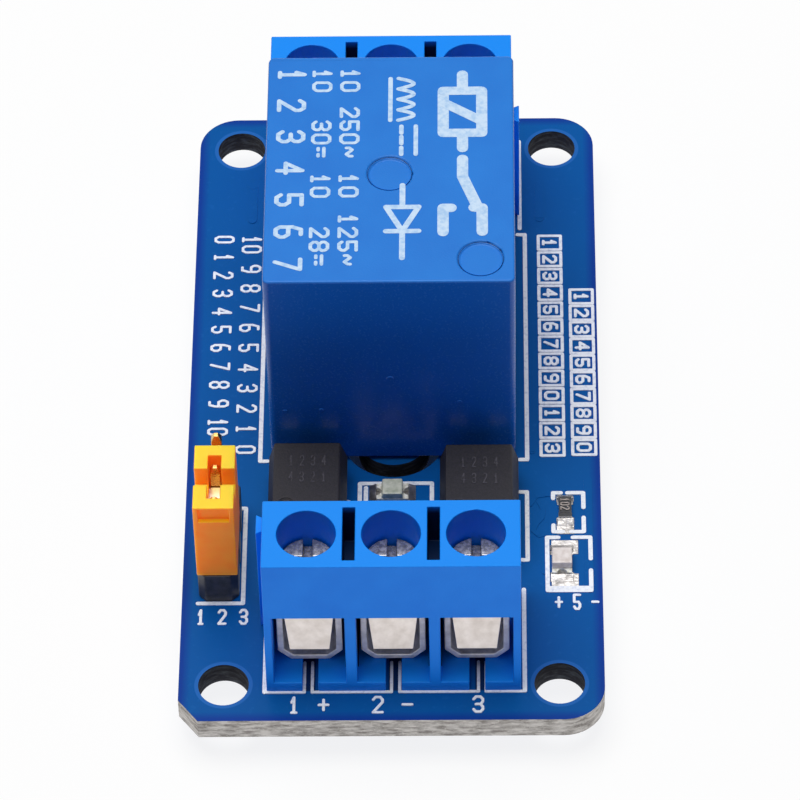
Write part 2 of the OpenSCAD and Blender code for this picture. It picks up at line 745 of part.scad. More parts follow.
module relay_no_terminal() {
    color("goldenrod") {
        contact_blade(-1, no_face_h - contact_t - blade_t);
        translate([0, contact_y, top_z + no_face_h - contact_t - eps])
            cylinder(d = contact_d, h = contact_t + eps);
    }
}

module relay_nc_terminal() {
    color("goldenrod") {
        contact_blade(1, nc_arm_h);
        opened() translate([0, contact_y, top_z + nc_face_h]) cylinder(d = contact_d, h = contact_t);
    }
}

module relay_armature() {
    l = coil_mid_y + pole_d / 2 - hinge_y;
    color("darkgray") opened() translate([-yoke_w / 2 + 0.3, hinge_y + 0.1, top_z + hinge_h])
        cube([yoke_w - 0.6, l, armature_t]);
}

module relay_contact_spring() {
    back = 0.4;
    color("goldenrod") opened() difference() {
        translate([-spring_w / 2, hinge_y - back, top_z + spring_low_h])
            cube([spring_w, contact_y + contact_d / 2 + 0.3 - hinge_y + back, spring_t]);
        translate([0, contact_y, top_z]) cylinder(d = contact_d / 2 + eps, h = relay_h);
    }
}

module relay_moving_contact() {
    color("silver") opened() translate([0, contact_y, top_z + spring_low_h]) {
        translate([0, 0, -contact_t]) cylinder(d = contact_d, h = contact_t);
        cylinder(d = contact_d / 2, h = spring_t);
        translate([0, 0, spring_t]) cylinder(d = contact_d, h = contact_t);
    }
}

// ---- jumper ----

module header_base() {
    c = header_cut;
    w = header_w / 2;
    l = header_pitch / 2;
    color("black") difference() {
        for (y = header_pin_ys) translate([header_x, y, top_z]) linear_extrude(header_h)
            polygon([[-w + c, -l], [w - c, -l], [w, -l + c], [w, l - c],
                [w - c, l], [-w + c, l], [-w, l - c], [-w, -l + c]]);
        for (p = header_pin_list) translate([p[0], p[1], top_z - 1])
            block(p[2] + eps, p[3] + eps, header_h + 2);
    }
}

module header_pins() {
    tip = 0.4;
    color("gold") for (p = header_pin_list) {
        pin(p, header_pin_h - tip);
        translate([p[0], p[1], top_z + header_pin_h - tip]) rotate([0, 0, 45])
            cylinder(d1 = p[2] * sqrt(2), d2 = p[2] * 0.6, h = tip, $fn = 4);
    }
}

module jumper_cap() {
    slot_l = header_pitch + header_pin_w + 0.2;
    color("orange") translate([header_x, cap_y, top_z + cap_z]) difference() {
        block(cap_w, cap_l, cap_h);
        translate([0, 0, -1]) block(socket_w, socket_l, socket_h + 1);
        block(cap_slot_w, slot_l, cap_h + 1);
        translate([0, 0, cap_h - cap_notch_deep]) block(cap_w + 1, cap_notch_w, cap_h);
        translate([0, -cap_l / 2, cap_h - cap_step_low]) block(cap_w - 0.6, 2 * cap_step_deep, cap_step_h);
    }
}

module jumper_clip() {
    inner = header_pin_w / 2 + clip_play;
    l = socket_l - 2 * clip_seat;
    color("silver") translate([header_x, cap_y, top_z + cap_z + clip_low]) {
        for (s = [0, 1]) mirror([s, 0, 0]) translate([inner, -l / 2, 0]) cube([clip_t, l, clip_h]);
        translate([0, 0, clip_h - clip_t])
            block(2 * inner + eps, header_pitch - header_pin_w - 2 * clip_play, clip_t);
    }
}

// ---- optocouplers ----

module opto_body(x, y) {
    mid = opto_h / 2;
    d = opto_draft;
    color("dimgray") translate([x, y, top_z + opto_stand]) difference() {
        intersection() {
            translate([0, opto_l / 2 + 1, 0]) rotate([90, 0, 0]) linear_extrude(opto_l + 2)
                polygon([for (s = [-1, 1]) for (k = [-1, 0, 1])
                    [s * (opto_w / 2 - (k == 0 ? 0 : d)), mid + s * k * mid]]);
            side_extrude(opto_w + 2)
                polygon([for (s = [-1, 1]) for (k = [-1, 0, 1])
                    [s * (opto_l / 2 - (k == 0 ? 0 : d)), mid + s * k * mid]]);
        }
        translate([-opto_w / 2 + d + opto_dot_in, -opto_l / 2 + d + opto_dot_in, opto_h - opto_dot_deep])
            cylinder(d = opto_dot_d, h = 1);
    }
}

module opto_leads(x, y) {
    mid = opto_top_h - opto_h / 2;
    out = opto_row / 2 - opto_l / 2;
    shoulder_h = 0.5;
    color("silver") for (i = [-0.5, 0.5]) for (s = [0, 1])
        translate([x + i * opto_lead_pitch, y, 0]) rotate([0, 0, 180 * s]) {
            translate([-lead_shoulder_w / 2, opto_l / 2 + eps / 2, top_z + mid - lead_t / 2])
                cube([lead_shoulder_w, out + lead_t / 2 - eps / 2, lead_t]);
            translate([0, opto_row / 2, top_z + shoulder_h])
                block(lead_shoulder_w, lead_t, mid + lead_t / 2 - shoulder_h);
            translate([0, opto_row / 2, 0]) block(lead_w, lead_t, top_z + shoulder_h + eps);
        }
}

// ---- small surface parts ----

module led_base(at) {
    color("white") on_board(at) translate([0, 0, smd_film]) difference() {
        block(led_l, led_w, led_base_t);
        for (s = [-1, 1]) translate([s * led_l / 2, 0, -1]) cylinder(d = led_notch_d, h = 3);
    }
}

module led_lens(at) {
    low = led_lens_l / 2;
    high = low - 0.08;
    color("honeydew") on_board(at) translate([0, led_w / 2, smd_film + led_base_t]) rotate([90, 0, 0])
        linear_extrude(led_w) polygon([[-low, 0], [low, 0], [high, led_lens_h], [-high, led_lens_h]]);
}

module chip_resistors() {
    color("dimgray") for (at = resistors_at) on_board(at) translate([0, 0, smd_film]) {
        block(chip_l - 2 * eps, chip_w - 2 * eps, chip_t - eps);
        for (s = [-1, 1]) translate([s * (chip_l - chip_cap_l) / 2, 0, 0]) block(chip_cap_l, chip_w, chip_t);
    }
}

module transistor_body() {
    color("black") on_board(transistor_at) translate([0, 0, gull_stand])
        block(transistor_l, transistor_w, transistor_h);
}

// A gull-wing lead that leaves a body of half width w towards +Y
module gull_lead(w, lead_h, lead_across) {
    t = gull_t;
    knee = -w - 0.3;
    toe = -w - 0.6;
    translate([lead_across / 2, 0, 0]) rotate([90, 0, -90]) linear_extrude(lead_across)
        polygon([[-w, lead_h], [knee, lead_h], [knee, t], [toe, t], [toe, 0], [knee + t, 0],
            [knee + t, lead_h - t], [-w, lead_h - t]]);
}

module transistor_leads() {
    lead_h = gull_stand + transistor_h / 2;
    w = transistor_w / 2;
    color("silver") on_board(transistor_at) {
        for (x = [-0.95, 0.95]) translate([x, 0, 0]) rotate([0, 0, 180]) gull_lead(w, lead_h, gull_w);
        gull_lead(w, lead_h, gull_w);
    }
}

module diode_body() {
    color("black") on_board(diode_at) translate([0, 0, gull_stand]) block(diode_l, diode_w, diode_h);
}

module diode_leads() {
    lead_h = gull_stand + diode_h / 2;
    color("silver") on_board(diode_at) for (s = [-90, 90])
        rotate([0, 0, s]) gull_lead(diode_l / 2, lead_h, diode_lead_w);
}

// ---- the parts ----

pcb();
pin_solder();
chip_solder();
housing(0);  // input_housing
housing(1);  // output_housing
for (i = ways) {
    clamp_frame(0, i);
    clamp_frame(1, i);
    wire_guard(0, i);
    wire_guard(1, i);
    clamp_screw(0, i);
    clamp_screw(1, i);
}
relay_case();
relay_base();
relay_bobbin();
relay_winding();
relay_core();
relay_yoke();
relay_com_terminal();
relay_no_terminal();
relay_nc_terminal();
relay_coil_pins();
relay_armature();
relay_contact_spring();
relay_moving_contact();
header_base();
header_pins();
jumper_cap();
jumper_clip();
opto_body(opto_left_x, opto_left_y);  // opto_left_body
opto_leads(opto_left_x, opto_left_y);  // opto_left_leads
opto_body(opto_right_x, opto_right_y);  // opto_right_body
opto_leads(opto_right_x, opto_right_y);  // opto_right_leads
led_base(power_led_at);  // power_led_base
led_lens(power_led_at);  // power_led_lens
led_base(status_led_at);  // status_led_base
led_lens(status_led_at);  // status_led_lens
chip_resistors();
transistor_body();
transistor_leads();
diode_body();
diode_leads();
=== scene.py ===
"""Relay module board: a relay, two screw terminal blocks, two optocouplers and a jumper on a blue board.
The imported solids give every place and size. Each section dresses one piece or group of like pieces."""
import itertools
import json
import math

import bmesh
import bpy
from mathutils import Matrix, Vector

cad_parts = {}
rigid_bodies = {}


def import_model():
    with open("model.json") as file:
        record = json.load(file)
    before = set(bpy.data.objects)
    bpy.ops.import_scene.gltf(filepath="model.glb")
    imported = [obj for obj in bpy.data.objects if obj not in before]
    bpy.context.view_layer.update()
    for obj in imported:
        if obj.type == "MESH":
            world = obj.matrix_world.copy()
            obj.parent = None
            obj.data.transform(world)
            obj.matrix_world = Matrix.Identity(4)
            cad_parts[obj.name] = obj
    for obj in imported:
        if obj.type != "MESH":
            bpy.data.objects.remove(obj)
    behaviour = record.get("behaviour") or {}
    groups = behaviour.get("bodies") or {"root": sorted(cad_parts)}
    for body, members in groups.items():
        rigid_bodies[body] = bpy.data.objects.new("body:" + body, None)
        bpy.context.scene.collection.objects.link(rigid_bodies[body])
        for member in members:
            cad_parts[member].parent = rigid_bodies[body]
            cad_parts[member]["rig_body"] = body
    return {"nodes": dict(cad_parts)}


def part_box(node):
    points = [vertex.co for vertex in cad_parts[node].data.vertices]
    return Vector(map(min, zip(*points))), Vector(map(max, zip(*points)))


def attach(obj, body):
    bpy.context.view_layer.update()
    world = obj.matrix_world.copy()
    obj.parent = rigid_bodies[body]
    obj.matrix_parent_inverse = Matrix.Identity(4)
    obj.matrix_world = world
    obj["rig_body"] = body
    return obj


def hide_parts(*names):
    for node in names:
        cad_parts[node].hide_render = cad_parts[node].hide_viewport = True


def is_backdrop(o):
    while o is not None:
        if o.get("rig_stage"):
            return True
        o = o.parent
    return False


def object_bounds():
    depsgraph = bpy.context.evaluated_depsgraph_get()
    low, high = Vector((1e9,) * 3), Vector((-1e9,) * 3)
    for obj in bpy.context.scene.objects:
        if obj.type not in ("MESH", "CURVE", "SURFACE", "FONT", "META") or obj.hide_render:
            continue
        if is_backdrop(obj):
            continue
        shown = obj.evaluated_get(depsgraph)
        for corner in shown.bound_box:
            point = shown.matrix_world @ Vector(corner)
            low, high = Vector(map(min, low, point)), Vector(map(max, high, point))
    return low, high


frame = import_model()
cad_low, cad_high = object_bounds()
nodes = frame["nodes"]

# ---- Camera ----
# A long lens looks down at the board from beyond its input side, a little to the right of the middle.
# The board's far end lies upwards in its view, and the relay stands in the centre.
mm = 0.001
camera_at = Vector((6.379, -222.796, 266.315)) * mm
camera_tilt = math.radians(49.631)
camera_turn = math.radians(-1.542)
camera_roll = math.radians(-1.54)
camera_data = bpy.data.cameras.new("camera")
camera_data.lens = 243.79
camera_data.sensor_width = 36
camera_data.clip_start = 0.01
camera_data.clip_end = 20
camera = bpy.data.objects.new("camera", camera_data)
camera.matrix_world = (Matrix.Translation(camera_at) @ Matrix.Rotation(-camera_turn, 4, "Z")
                       @ Matrix.Rotation(math.pi / 2 - camera_tilt, 4, "X")
                       @ Matrix.Rotation(camera_roll, 4, "Z"))
bpy.context.scene.collection.objects.link(camera)
bpy.context.scene.camera = camera
bpy.context.scene.view_settings.view_transform = "Standard"


# ---- Lamps, world and table ----
# One wide soft box hangs over the board, a little to its far left, and a white table throws light back up.
# The table and the surroundings look white to the eye and in metal, and the table keeps a faint shadow.
class Wire:
    """One socket of a finish, which takes part in sums."""

    def __init__(self, finish, socket):
        self.finish, self.socket = finish, socket

    def out(self, name):
        return Wire(self.finish, self.socket.node.outputs[name])

    def __add__(self, other):
        return self.finish.maths("ADD", self, other)

    def __sub__(self, other):
        return self.finish.maths("SUBTRACT", self, other)

    def __rsub__(self, other):
        return self.finish.maths("SUBTRACT", other, self)

    def __mul__(self, other):
        return self.finish.maths("MULTIPLY", self, other)

    def __truediv__(self, other):
        return self.finish.maths("DIVIDE", self, other)

    def __abs__(self):
        return self.finish.maths("ABSOLUTE", self)

    def least(self, other):
        return self.finish.maths("MINIMUM", self, other)

    def most(self, other):
        return self.finish.maths("MAXIMUM", self, other)

    def root(self):
        return self.finish.maths("SQRT", self)

    def step(self, low, high):
        """0 up to low, 1 from high on."""
        return self.finish.node("MapRange", {}, {"Value": self, "From Min": low, "From Max": high})

    def within(self, reach, fade):
        """1 as far as reach to each side of zero, 0 from fade beyond it."""
        return 1 - abs(self).step(reach, reach + fade)

    __radd__, __rmul__ = __add__, __mul__


class Finish:
    """The nodes of one material, or of the world."""

    def __init__(self, name, owner=None, **shader):
        self.owner = owner or bpy.data.materials.new(name)
        self.owner.use_nodes = True
        self.tree = self.owner.node_tree
        if not owner:
            self.shader = self.tree.nodes["Principled BSDF"]
            self.set(self.shader, {key.replace("_", " "): value for key, value in shader.items()})

    def set(self, node, sockets):
        for key, value in sockets.items():
            if isinstance(value, Wire):
                self.tree.links.new(value.socket, node.inputs[key])
            else:
                node.inputs[key].default_value = value

    def node(self, kind, settings=None, sockets=None, output=0):
        made = self.tree.nodes.new("ShaderNode" + kind)
        for key, value in (settings or {}).items():
            setattr(made, key, value)
        self.set(made, sockets or {})
        return Wire(self, made.outputs[output])

    def maths(self, operation, first, second=0.0):
        return self.node("Math", {"operation": operation}, {0: first, 1: second})

    def mix(self, mask, first, second):
        return self.node("Mix", {"data_type": "RGBA"}, {0: mask, 6: first, 7: second}, 2)

    def spot(self):
        return self.node("TexCoord", output="Object")

    def where(self, axis):
        """How far along an axis a spot of the surface lies."""
        return self.node("SeparateXYZ", {}, {0: self.spot()}).out(axis)

    def facing(self, axis):
        """1 where the surface faces along an axis, -1 where it faces back."""
        return self.node("SeparateXYZ", {}, {0: self.node("TexCoord", output="Normal")}).out(axis)

    def noise(self, size, detail=2.0, stretch=(1, 1, 1), rough=0.5):
        """Cloudy noise whose lumps are about size across, drawn out along the axes by stretch."""
        scale = [1 / (size * s) for s in stretch]
        place = self.node("Mapping", {}, {"Vector": self.spot(), "Scale": scale})
        return self.node("TexNoise", {}, {"Vector": place, "Scale": 1.0, "Detail": detail,
                                          "Roughness": rough})

    def bump(self, height, depth, strength=1.0):
        return self.node("Bump", {}, {"Height": height, "Distance": depth, "Strength": strength}, "Normal")

    def white_to_the_eye(self):
        path = self.node("LightPath")
        return path.out("Is Camera Ray").most(path.out("Is Glossy Ray")).most(path.out("Is Transmission Ray"))


world = bpy.data.worlds.new("studio")
bpy.context.scene.world = world
sky = Finish("studio", world)
sky_fill = 0.12
sky_strength = sky.white_to_the_eye() * (1 - sky_fill) + sky_fill
sky.set(world.node_tree.nodes["Background"], {"Color": (1, 1, 1, 1), "Strength": sky_strength})

softbox_at = Vector((-0.05, 0.05, 0.5))
softbox_data = bpy.data.lights.new("softbox", "AREA")
softbox_data.shape = "SQUARE"
softbox_data.size = 0.4
softbox_data.energy = 2.6
softbox = bpy.data.objects.new("softbox", softbox_data)
softbox.location = softbox_at
softbox.rotation_euler = (-softbox_at).to_track_quat("-Z", "Y").to_euler()
bpy.context.scene.collection.objects.link(softbox)

table_shape = bmesh.new()
bmesh.ops.create_grid(table_shape, x_segments=1, y_segments=1, size=1.5,
                      matrix=Matrix.Translation((0, 0, cad_low.z)))
table_mesh = bpy.data.meshes.new("table")
table_shape.to_mesh(table_mesh)
table = bpy.data.objects.new("table", table_mesh)
bpy.context.scene.collection.objects.link(table)
table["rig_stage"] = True
table_white = Finish("table_white")
table_paint = (0.93, 0.93, 0.93, 1)
table_glow, glow_share, more_to_the_eye = 1.7, 0.5, 0.36
lit = table_white.node("BsdfDiffuse", {}, {"Color": table_paint}, "BSDF")
seen = table_white.white_to_the_eye()
strong, plain = [table_white.node("Emission", {}, {"Strength": power}, "Emission")
                 for power in (table_glow, 1)]
glow = table_white.node("MixShader", {}, {0: seen, 1: strong, 2: plain})
# Painted shadow: under the board the table doesn't glow, and fades to its plain paint
under_board = table_white.where("X").within(7 * mm, 2.5 * mm) * table_white.where("Y").within(17 * mm, 3 * mm)
glowing = (1 - under_board) * (seen * more_to_the_eye + glow_share)
shown = table_white.node("MixShader", {}, {0: glowing, 1: lit, 2: glow})
# Seen from below the table is clear, so that the board's underside shows
below = table_white.node("NewGeometry", output="Backfacing")
shown = table_white.node("MixShader", {}, {0: below, 1: shown, 2: table_white.node("BsdfTransparent")})
table_white.set(table_white.tree.nodes["Material Output"], {"Surface": shown})
table_mesh.materials.append(table_white.owner)


# ---- Board ----
# Glass-fibre laminate with copper on both faces under a glossy blue mask, routed out of a panel and drilled.
# The laminate shows grey at the edge. The walls of the mounting holes and of the slot by the relay are
# dark, partly charred and partly painted shade, and the mask is paler in a fine ring round each mounting
# hole, where no copper lies under it.
def srgb(code):
    """A colour written as rrggbb, in the renderer's linear values."""
    parts = [int(code[i:i + 2], 16) / 255 for i in (0, 2, 4)]
    return [p / 12.92 if p <= 0.04045 else ((p + 0.055) / 1.055) ** 2.4 for p in parts] + [1.0]


board_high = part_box("pcb")[1]
board_top = board_high.z
hole_x, hole_y = 10.25 * mm, 22.25 * mm
hole_r, ring_r = 1.55 * mm, 1.76 * mm
mask_blue, rim_blue, ring_blue = srgb("0a579f"), srgb("113d92"), srgb("2465b0")
mask_deep = [c * 0.93 for c in mask_blue[:3]] + [1]
laminate_grey, laminate_dark, laminate_dot = srgb("d6d2ce"), srgb("8c8783"), srgb("dedbd6")
bore_dark, bore_pale = srgb("303036"), srgb("565b60")
# Painted shade: the board is painted dark in the three gaps between the near terminal block's feet, where it
# lies deep and no light is left
gap_painted_shade, gap_shade_share = srgb("161636"), 0.75
gap_xs, gap_y = (0.25 * mm, 5.53 * mm, -5.07 * mm), -20.9 * mm
gap_half_w, gap_half_l = 0.38 * mm, 1.8 * mm


def clothe(name, finish):
    """Gives a CAD node a finish and leaves its shape alone."""
    data = nodes[name].data
    data.materials.clear()
    data.materials.append(finish.owner)


def board_finish(name, tracks):
    """The board's mask, laminate and bore walls. tracks is True where the finish is for the tracks alone."""
    board = Finish(name, Specular_IOR_Level=0.05)
    cloud = board.noise(7 * mm, 3)
    speck = board.noise(0.35 * mm, 2)
    blue = board.mix(cloud.step(0.3, 0.7), mask_deep, mask_blue)
    blue = board.mix(speck.step(0.62, 0.75) * 0.12, blue, srgb("2d78c4"))
    if tracks:
        board.set(board.shader, {"Base Color": blue, "Roughness": cloud * 0.1 + 0.26})
        return board
    x, y = board.where("X"), board.where("Y")
    # The mask's blue is deeper along the board's rim and paler round the holes, and painted shade darkens it
    # in the gaps
    border = (board_high.x - abs(x)).least(board_high.y - abs(y)) + board.noise(1.5 * mm) * (0.12 * mm)
    blue = board.mix(border.step(0.25 * mm, 0.75 * mm), rim_blue, blue)
    in_gap = 0.0
    for gap_x in gap_xs:
        in_gap = (x - gap_x).within(gap_half_w, 0.1 * mm) + in_gap
    in_gap = in_gap * (y - gap_y).within(gap_half_l, 0.1 * mm)
    blue = board.mix(in_gap * gap_shade_share, blue, gap_painted_shade)
    off_x, off_y = abs(x) - hole_x, abs(y) - hole_y
    off_hole = (off_x * off_x + off_y * off_y).root()
    blue = board.mix(off_hole.within(ring_r, 0.05 * mm), blue, ring_blue)
    # The laminate's cut edge shows its fibres, which are dark where a drill or a router ran inside, partly
    # charred and partly painted shade
    fibre = board.noise(0.5 * mm, 4, (1.8, 1.8, 0.5), 0.65)
    dots = board.noise(0.16 * mm, 2)
    grey = board.mix(fibre.step(0.36, 0.62), laminate_dark, laminate_grey)
    grey = board.mix(dots.step(0.6, 0.72) * 0.5, grey, laminate_dot)
    char_and_shade = board.mix(fibre.step(0.45, 0.75), bore_dark, bore_pale)
    # Painted shade: every cut wall in the middle of the board, round the relay, takes the dark char colour
    middle = x.within(8 * mm, 0.2 * mm) * y.within(20 * mm, 0.2 * mm)
    drilled = off_hole.within(hole_r + 0.1 * mm, 0.05 * mm).most(middle)
    edge = board.mix(drilled, grey, char_and_shade)
    face = abs(board.facing("Z")).step(0.4, 0.6)
    board.set(board.shader, {
        "Base Color": board.mix(face, edge, blue),
        "Roughness": 0.75 - face * 0.45 + cloud * 0.06,
        "Normal": board.bump(fibre * (1 - face) + speck * face * 0.04, 0.03 * mm)})
    return board


clothe("pcb", board_finish("board_mask", False))

# ---- Tracks under the mask ----
# Etched copper stands a few hundredths of a millimetre above the laminate, and the blue mask runs over it.
# Only the runs that show between the parts are made.
track_rise = 0.035 * mm
track_shape = bmesh.new()


def bar(shape, start, end, width, low, high):
    """A straight flat bar from start to end."""
    start, end = Vector(start), Vector(end)
    along = end - start
    middle = ((start + end) / 2).to_3d() + Vector((0, 0, (low + high) / 2))
    turn = Matrix.Rotation(math.atan2(along.y, along.x), 4, "Z")
    size = Matrix.Diagonal((along.length, width, high - low, 1))
    bmesh.ops.create_cube(shape, size=1, matrix=Matrix.Translation(middle) @ turn @ size)


# No two strokes that cross are quite as thick as each other, so their tops never coincide
lift_count, lift_stride, lift_step = 41, 7, 0.0005
lifts = itertools.cycle(n * lift_stride % lift_count * lift_step * mm for n in range(lift_count))


def line(shape, points, width, low, high):
    """A bar for each stretch of a line, with round ends and joints."""
    points = [Vector(p) for p in points]
    for start, end in zip(points, points[1:]):
        bar(shape, start, end, width, low, high + next(lifts))
    for at in points:
        depth = high + next(lifts) - low
        bmesh.ops.create_cone(shape, cap_ends=True, segments=12, radius1=width / 2, radius2=width / 2,
                              depth=depth, matrix=Matrix.Translation((at.x, at.y, low + depth / 2)))


def finished(name, shape, finish, body="root"):
    """Makes the mesh an object of the scene, with its finish and body."""
    mesh = bpy.data.meshes.new(name)
    bmesh.ops.recalc_face_normals(shape, faces=shape.faces)
    shape.to_mesh(mesh)
    shape.free()
    mesh.materials.append(finish.owner)
    piece = bpy.data.objects.new(name, mesh)
    bpy.context.scene.collection.objects.link(piece)
    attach(piece, body)


def in_mm(points):
    return [(x * mm, y * mm) for x, y in points]


# Each run's width and the points it passes, in millimetres from the board's centre
track_runs = [
    (0.3, [(8.56, -8.23), (8.95, -7.55), (9.6, -7.42), (10.1, -7.43)]),
    (0.3, [(9.12, -8.0), (9.4, -8.6), (9.3, -9.3), (8.95, -9.75), (8.75, -10.3), (9.1, -10.7), (9.5, -10.6)]),
    (0.5, [(9.5, -11.9), (9.5, -13.6)]),
    (0.35, [(8.72, -3.9), (8.72, 14.2)]),
    (0.35, [(-8.75, -3.4), (-8.75, 13.6)]),
    (0.5, [(12.2, -6.2), (12.2, -15.0)]),
    (0.6, [(-9.4, 16.0), (-9.4, 19.0)]),
    (0.6, [(9.4, 16.0), (9.4, 19.0)]),
]
for track_w, run in track_runs:
    line(track_shape, in_mm(run), track_w * mm, board_top - track_rise, board_top + track_rise)
finished("board_tracks", track_shape, board_finish("track_mask", True))

# ---- White print on the board ----
# Screen-printed outlines of the parts, with plain numbers and signs beside them, in a thin coat of white ink.
# The ink is a little worn, and lies over the mask and its tracks.
ink_rise = 0.02 * mm
ink_low, ink_high = board_top - ink_rise, board_top + track_rise + ink_rise
ink_shape = bmesh.new()
# Each sign is drawn in strokes on a grid of 4 by 6: "14 36" is a stroke from (1, 4) to (3, 6)
grid_w, grid_h, sign_share = 4, 6, 0.62
STROKES = {
    "0": ["01 05 16 36 45 41 30 10 01"], "1": ["14 26 20", "10 30"], "2": ["05 16 36 45 44 00 40"],
    "3": ["05 16 36 45 44 33 13", "33 42 41 30 10 01"], "4": ["30 36 02 42"],
    "5": ["46 06 03 33 42 41 30 10 01"], "6": ["36 16 04 01 10 30 41 42 33 03"], "7": ["06 46 10"],
    "8": ["13 04 05 16 36 45 44 33 13 02 01 10 30 41 42 33"], "9": ["10 30 42 45 36 16 05 04 13 43"],
    "+": ["21 25", "03 43"], "-": ["03 43"], "~": ["02 03 14 32 43 44"], "=": ["04 44", "02 12", "32 42"],
}


def number(shape, text, at, height, pitch, turn, width, low, high):
    """Draws text in strokes from its lower left corner at, turned by turn. The place, height, pitch and
    width are in millimetres."""
    place = Matrix.Translation((at[0] * mm, at[1] * mm, 0)) @ Matrix.Rotation(turn, 4, "Z")
    for i, sign in enumerate(text):
        for stroke in STROKES.get(sign, []):
            run = []
            for p in stroke.split():
                across, up = int(p[0]) / grid_w * pitch * sign_share, int(p[1]) / grid_h * height
                run.append((place @ (Vector((i * pitch + across, up, 0)) * mm)).to_2d())
            line(shape, run, width * mm, low, high)


down = -math.pi / 2
outline_w, foot_line_w = 0.27, 0.19
# The finer lines run along the near terminal block's feet and into the gaps between them
foot_lines = [
    [(8.12, -22.87), (5.76, -22.87), (5.76, -20.6)],
    [(5.3, -20.6), (5.3, -22.87), (0.5, -22.87), (0.5, -20.6)],
    [(0.0, -20.6), (0.0, -22.87), (-4.83, -22.87), (-4.83, -20.6)],
    [(-5.31, -20.6), (-5.31, -22.87), (-7.73, -22.87)],
]
for outline in foot_lines:
    line(ink_shape, in_mm(outline), foot_line_w * mm, ink_low, ink_high)
# The terminal blocks' ends, the relay, an optocoupler, the status light, the jumper, a resistor and the
# power light
outlines = [
    [(8.12, -15.0), (8.12, -22.85)],
    [(-7.73, -22.85), (-7.73, -15.0)],
    [(8.1, 15.07), (8.1, 22.84), (-8.1, 22.84), (-8.1, 15.07)],
    [(7.95, -4.57), (8.42, -4.57), (8.42, 14.52), (7.95, 14.52)],
    [(-7.95, -4.57), (-8.42, -4.57), (-8.42, 14.52), (-7.95, 14.52)],
    [(7.95, -7.21), (8.38, -7.21), (8.38, -12.66), (7.95, -12.66)],
    [(-2.10, -9.2), (-2.10, -6.45), (2.42, -6.45), (2.42, -9.2)],
    [(-1.72, -9.2), (-1.72, -6.8)],
    [(-2.95, -8.6), (-2.95, -7.9), (-2.45, -8.05), (-2.45, -8.6)],
    [(-12.0, -15.96), (-9.22, -15.96), (-9.22, -8.41), (-9.55, -8.41)],
    [(11.9, -8.5), (11.9, -7.3), (10.9, -7.3)],
    [(10.5, -7.3), (10.01, -7.3), (10.01, -7.75)],
    [(10.01, -9.9), (10.01, -10.43), (10.6, -10.43)],
    [(11.1, -10.43), (11.9, -10.43), (11.9, -9.3)],
    [(10.3, -10.89), (9.6, -10.89), (9.6, -15.09), (12.29, -15.09), (12.29, -13.5)],
    [(9.75, -14.88), (12.2, -14.88)],
    [(11.2, -10.89), (12.29, -10.89), (12.29, -12.6)],
]
for outline in outlines:
    line(ink_shape, in_mm(outline), outline_w * mm, ink_low, ink_high)
# What each label says, where it starts, its height, its pitch, its turn and its stroke's width
labels = [
    ("0 1 2 3 4 5 6 7 8 9 10", (-11.75, 14.5), 1.15, 0.78, down, 0.17),
    ("10 9 8 7 6 5 4 3 2 1 0", (-9.95, 14.5), 1.15, 0.85, down, 0.17),
    ("1 +", (-6.2, -24.42), 1.15, 0.9, 0, 0.17),
    ("2 -", (-1.1, -24.42), 1.15, 0.9, 0, 0.17),
    ("3", (5.0, -24.42), 1.15, 0.9, 0, 0.17),
    ("1 2 3", (-12.0, -17.55), 1.05, 0.66, 0, 0.17),
    ("+ 5 -", (10.1, -16.55), 1.1, 0.56, 0, 0.17),
    ("1", (-4.9, 23.2), 1.15, 0.9, 0, 0.17),
    ("2", (0.1, 23.2), 1.15, 0.9, 0, 0.17),
    ("3", (5.2, 23.2), 1.15, 0.9, 0, 0.17),
]
for text, at, height, pitch, turn, width in labels:
    number(ink_shape, text, at, height, pitch, turn, width, ink_low, ink_high)
# Two columns of numbers, each number in a frame of its own, read from the board's left side
frame_w, frame_l, frame_line = 1.45, 1.2, 0.2
frame_gap, digit_inset, digit_pitch, digit_line = 0.33, 0.32, 0.9, 0.19
for column_x, column_y, column_l, count in ((9.3, 14.4, 18.9, 13), (11.3, 9.7, 14.1, 10)):
    for i in range(count):
        near_x, far_y = column_x, column_y - i * column_l / count
        far_x, near_y = near_x + frame_w, far_y - frame_l
        corners = [(near_x, near_y), (far_x, near_y), (far_x, far_y), (near_x, far_y), (near_x, near_y)]
        line(ink_shape, in_mm(corners), frame_line * mm, ink_low, ink_high)
        number(ink_shape, str((i + 1) % 10), (near_x + frame_gap, far_y - digit_inset),
               frame_w - 2 * frame_gap, digit_pitch, down, digit_line, ink_low, ink_high)
white_ink = Finish("white_ink", Roughness=0.6, Specular_IOR_Level=0.2)
worn = white_ink.noise(0.25 * mm, 3)
white_ink.set(white_ink.shader, {
    "Base Color": white_ink.mix(worn.step(0.25, 0.5), srgb("d3daea"), srgb("f6f8fc")),
    "Normal": white_ink.bump(worn, 0.01 * mm)})
finished("white_print", ink_shape, white_ink)


